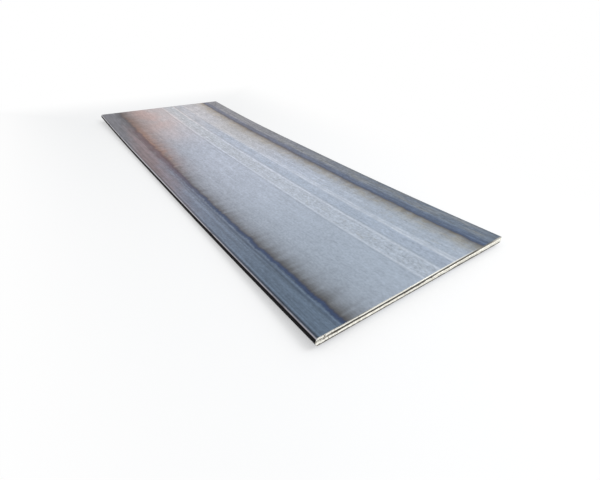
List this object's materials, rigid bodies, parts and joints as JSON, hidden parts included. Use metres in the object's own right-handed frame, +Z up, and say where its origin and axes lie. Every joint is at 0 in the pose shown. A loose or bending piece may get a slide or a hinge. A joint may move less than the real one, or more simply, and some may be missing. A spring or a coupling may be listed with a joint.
{
  "type": "steel plate",
  "caption": "Hot-rolled steel plate cut to length, with rolled long edges, sheared ends that curl up a little and mill scale on its faces.",
  "frame": {"origin": "middle of the plate's underside, on the flat zone it rests on", "axes": "+X across the plate, +Y along it towards the far end, +Z up through its thickness"},
  "size_m": [1, 2.8003, 0.0549],
  "materials": {
    "mill_steel": "hot-rolled mill scale, blue-grey, with bare bright metal on the sheared ends"
  },
  "bodies": {
    "root": {"steel_plate": "mill_steel"}
  },
  "joints": []
}
